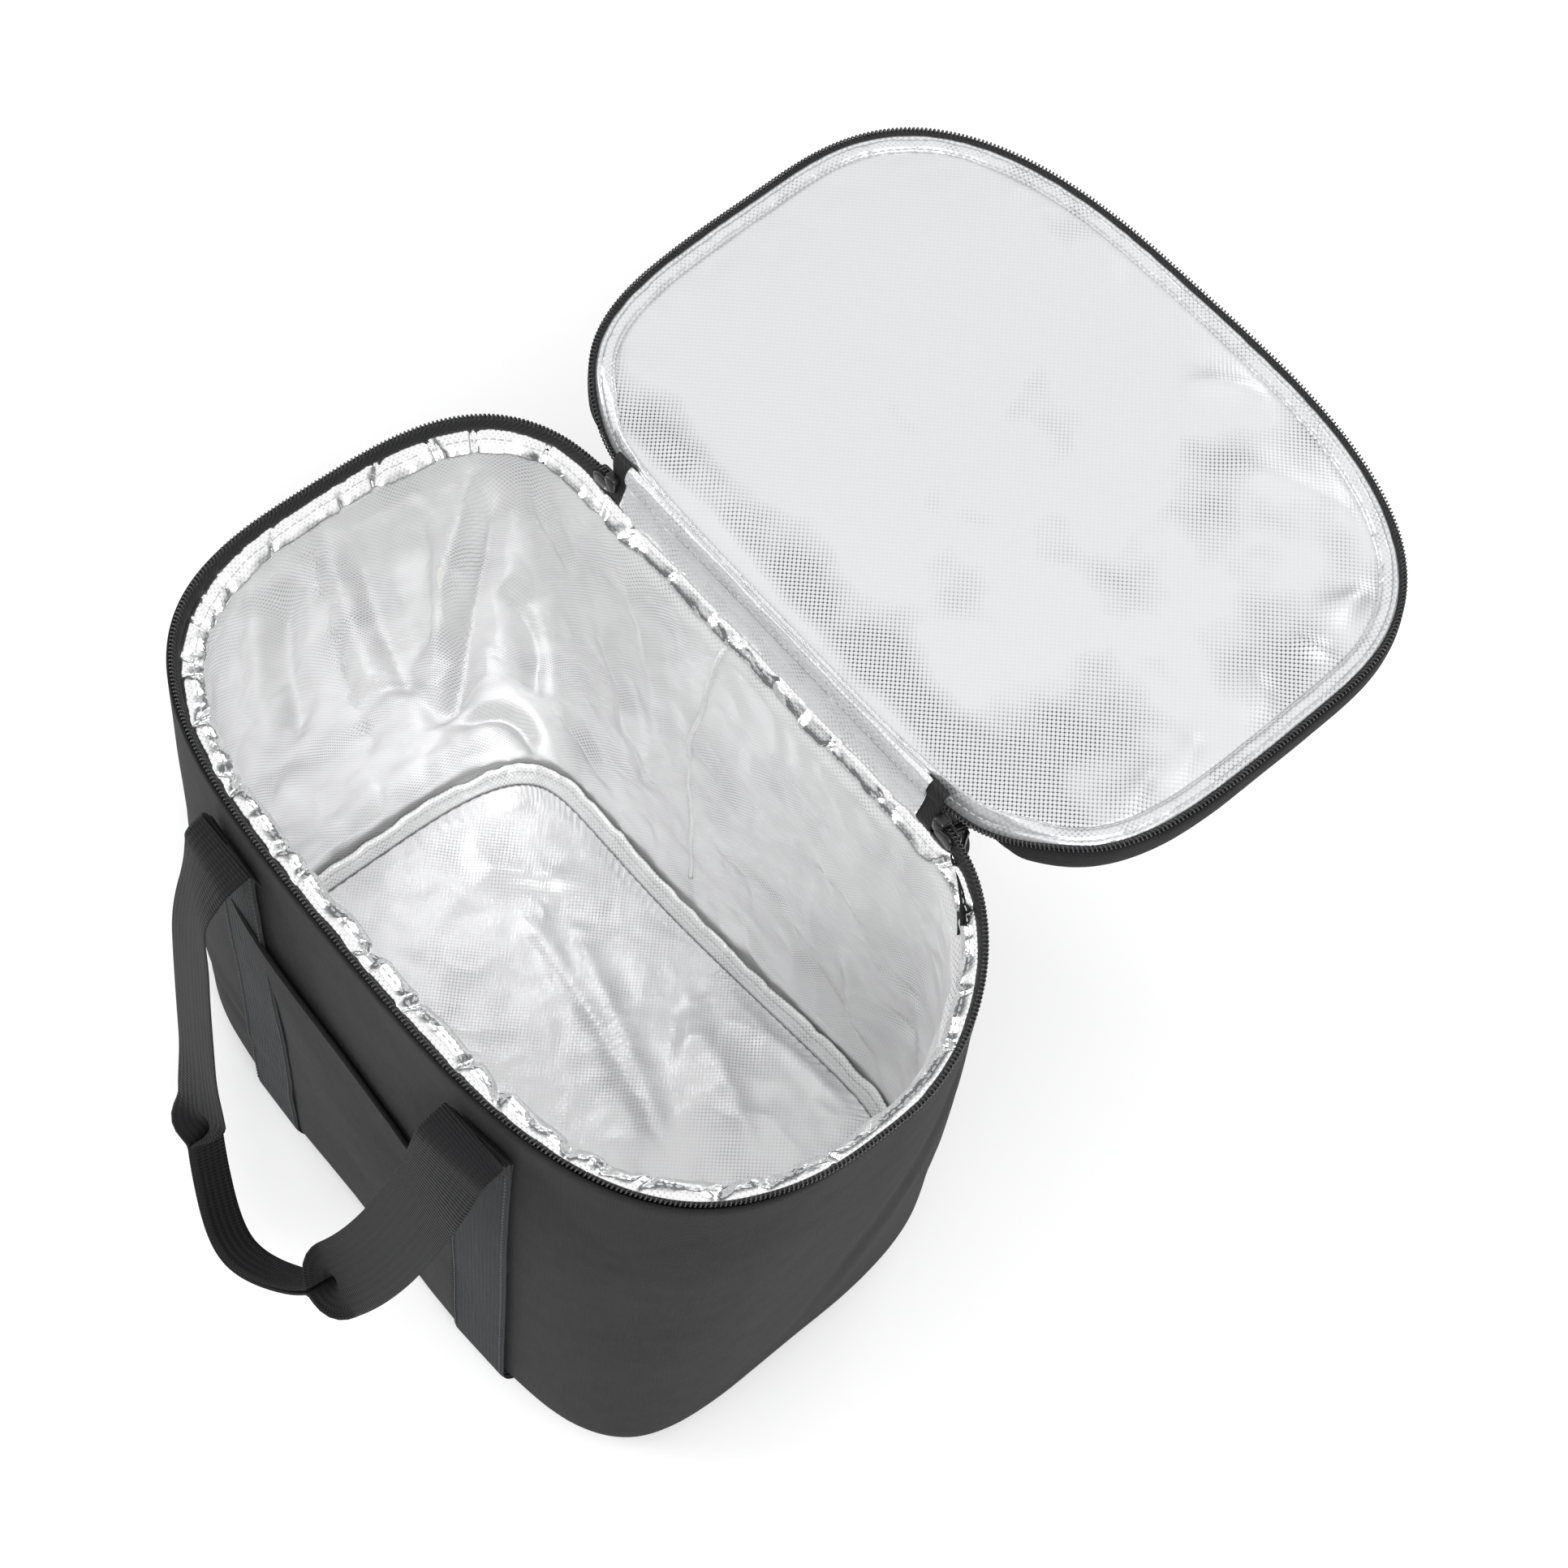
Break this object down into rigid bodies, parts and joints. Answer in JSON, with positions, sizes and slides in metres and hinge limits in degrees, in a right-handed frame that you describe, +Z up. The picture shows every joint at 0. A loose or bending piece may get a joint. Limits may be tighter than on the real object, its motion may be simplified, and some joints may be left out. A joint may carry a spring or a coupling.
{
  "type": "cooler bag",
  "caption": "Soft insulated cooler bag with a foil lining, a zip lid on a cloth hinge, webbing carrying handles and an open front pocket.",
  "frame": {"origin": "centre of the flat bottom, where the bag stands", "axes": "+Z up, -Y towards the front with the pocket, +Y towards the hinge and the laid-back lid, +X towards the right-hand end seen from the front"},
  "size_m": [0.39, 0.5925, 0.372],
  "materials": {
    "polyester": "charcoal woven polyester, matte",
    "webbing": "ribbed black webbing, matte",
    "foil": "embossed aluminised film, crinkled",
    "foam": "closed-cell foam, matte",
    "board": "plain stiffening sheet, matte",
    "zip": "black nylon tape and coil",
    "slider_metal": "black enamel, satin"
  },
  "bodies": {
    "body": {"outer_wall": "polyester", "outer_base": "polyester", "base_board": "board", "foam_wall": "foam", "foam_floor": "foam", "lining_wall": "foil", "lining_floor": "foil", "floor_binding": "foil", "lining_seam_tape": "foil", "rim_hem": "foil", "body_zip_tape": "zip", "body_zip_coil": "zip", "hinge_strip": "polyester", "hinge_facing": "foil", "front_pocket": "polyester", "front_strap_left": "webbing", "front_strap_right": "webbing", "rear_strap_left": "webbing", "rear_strap_right": "webbing", "slider_left": "slider_metal", "slider_right": "slider_metal"},
    "lid": {"lid_band": "polyester", "lid_panel": "polyester", "lid_foam": "foam", "lid_facing": "foil", "lid_border": "foil", "lid_zip_tape": "zip", "lid_zip_coil": "zip"},
    "front_handle": {"front_handle": "webbing"},
    "rear_handle": {"rear_handle": "webbing"},
    "pull_left": {"pull_left": "slider_metal"},
    "pull_right": {"pull_right": "slider_metal"}
  },
  "joints": [
    {"name": "lid_hinge", "type": "hinge", "parent": "body", "child": "lid", "pos_m": [0, 0.1251, 0.34], "axis": [1, 0, 0], "range_deg": [0, 175]},
    {"name": "front_handle_hinge", "type": "hinge", "parent": "body", "child": "front_handle", "pos_m": [0, -0.13412, 0.3165], "axis": [-1, 0, 0], "range_deg": [-6, 150]},
    {"name": "rear_handle_hinge", "type": "hinge", "parent": "body", "child": "rear_handle", "pos_m": [0, 0.12847, 0.3165], "axis": [1, 0, 0], "range_deg": [-6, 65]},
    {"name": "pull_right_hinge", "type": "hinge", "parent": "body", "child": "pull_right", "pos_m": [0.11771, 0.12491, 0.32564], "axis": [0.9691, -0.2468, 0], "range_deg": [0, 75]},
    {"name": "pull_left_hinge", "type": "hinge", "parent": "body", "child": "pull_left", "pos_m": [-0.11771, 0.12491, 0.32564], "axis": [0.9691, 0.2468, 0], "range_deg": [0, 75]}
  ]
}
